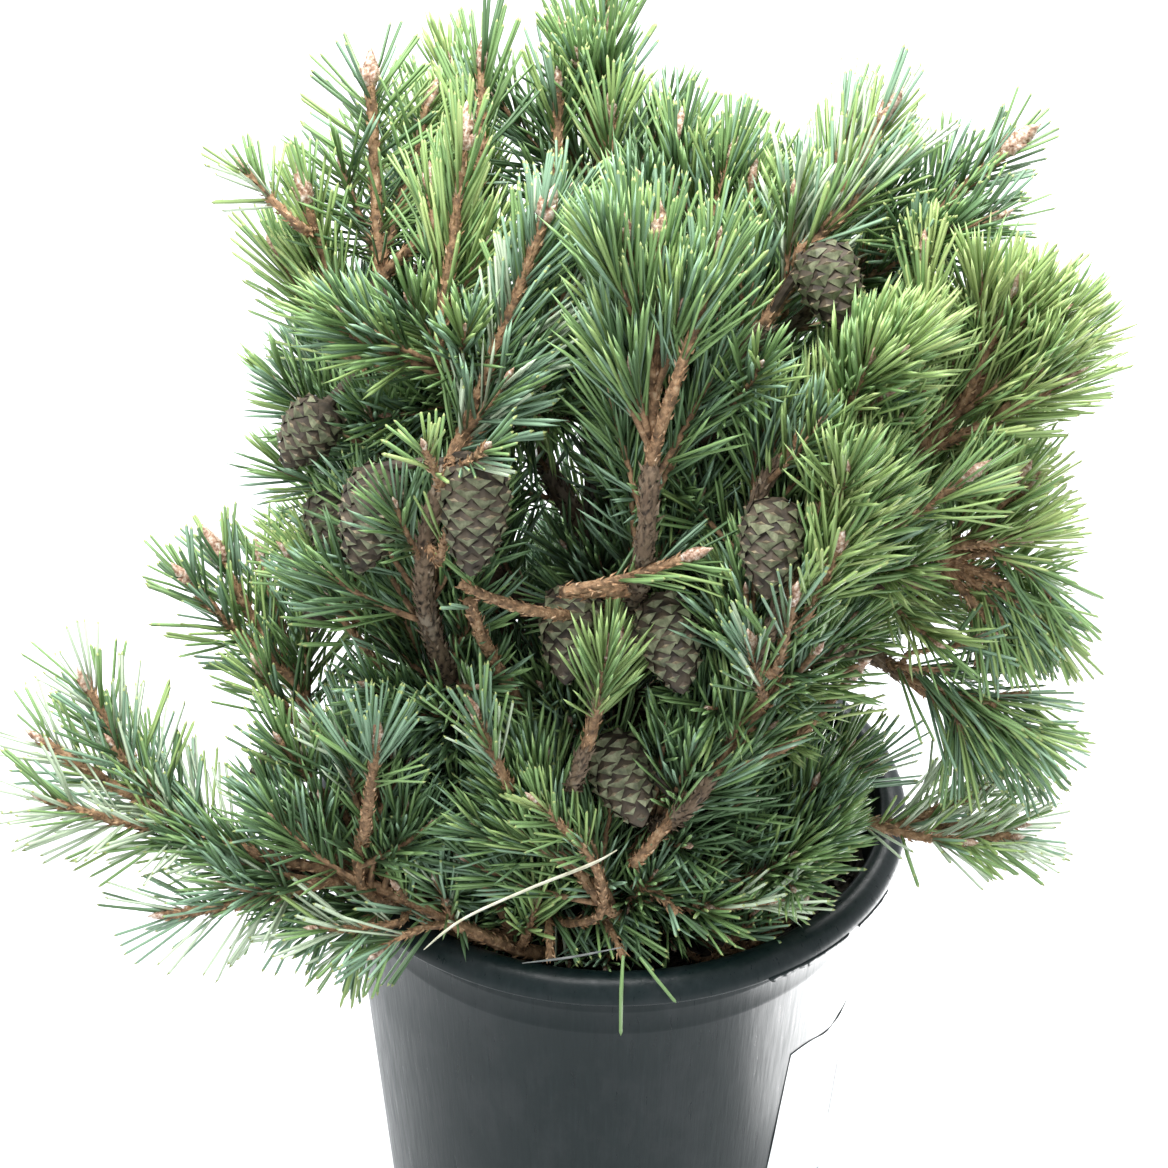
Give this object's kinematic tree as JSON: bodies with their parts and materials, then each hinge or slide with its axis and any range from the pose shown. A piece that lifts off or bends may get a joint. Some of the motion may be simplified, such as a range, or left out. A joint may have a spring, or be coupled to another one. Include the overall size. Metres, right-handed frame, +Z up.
{
  "type": "potted mugo pine",
  "caption": "Bushy young mugo pine with upright needled shoots and ripe cones, growing in its round black plastic nursery pot.",
  "frame": {"origin": "centre of the pot's flat underside", "axes": "+Z straight up the pot's axis, -Y towards the front, +X to the right as seen from the front"},
  "size_m": [0.5104, 0.3426, 0.7254],
  "materials": {
    "pot": "satin black moulded polypropylene with fine upright streaks",
    "soil": "loose dark potting compost with bark chips",
    "bark": "dry scaly grey-brown pine bark, orange-brown on young wood",
    "needles": "stiff waxy green needles in pairs",
    "twigs": "orange-brown twigs set with dry scales",
    "buds": "pinkish brown buds with a pale crust of resin",
    "cones": "closed woody cones, sage grey-green scales with brown undersides",
    "label": "bare white adhesive label with a lifting corner"
  },
  "bodies": {
    "root": {"pot": "pot", "soil": "soil", "trunk": "bark", "bough_upper_left": "bark", "bough_far_left": "bark", "bough_front_blue": "bark", "bough_fork": "bark", "bough_upper_right": "bark", "bough_right_back": "bark", "bough_right_bright": "bark", "bough_right_mid": "bark", "bough_right_inner": "bark", "bough_right_edge": "bark", "bough_right_droop": "bark", "bough_right_low": "bark", "bough_mid_right": "bark", "bough_front_centre": "bark", "bough_left_mid": "bark", "bough_left_up": "bark", "bough_left_long": "bark", "bough_back_left_high": "bark", "bough_back_right_high": "bark", "bough_back_right": "bark", "bough_back_mid": "bark", "bough_back_left": "bark", "mass_top": "needles", "mass_upper_left": "needles", "mass_far_left": "needles", "mass_left_inner": "needles", "mass_front_blue": "needles", "mass_top_right": "needles", "mass_fork": "needles", "mass_upper_right": "needles", "mass_right_back": "needles", "mass_right_bright": "needles", "mass_right_mid": "needles", "mass_right_inner": "needles", "mass_right_edge": "needles", "mass_right_droop": "needles", "mass_right_low": "needles", "mass_mid_right": "needles", "mass_front_right": "needles", "mass_low_right": "needles", "mass_front_centre": "needles", "mass_front_bright": "needles", "mass_front_low": "needles", "mass_front_fan": "needles", "mass_left_mid": "needles", "mass_left_up": "needles", "mass_left_long": "needles", "mass_left_low": "needles", "mass_back_high": "needles", "mass_back_left_high": "needles", "mass_back_right_high": "needles", "mass_back_right": "needles", "mass_back_mid": "needles", "mass_back_left": "needles", "mass_back_low_right": "needles", "mass_back_low": "needles", "mass_back_low_left": "needles"}
  },
  "joints": []
}
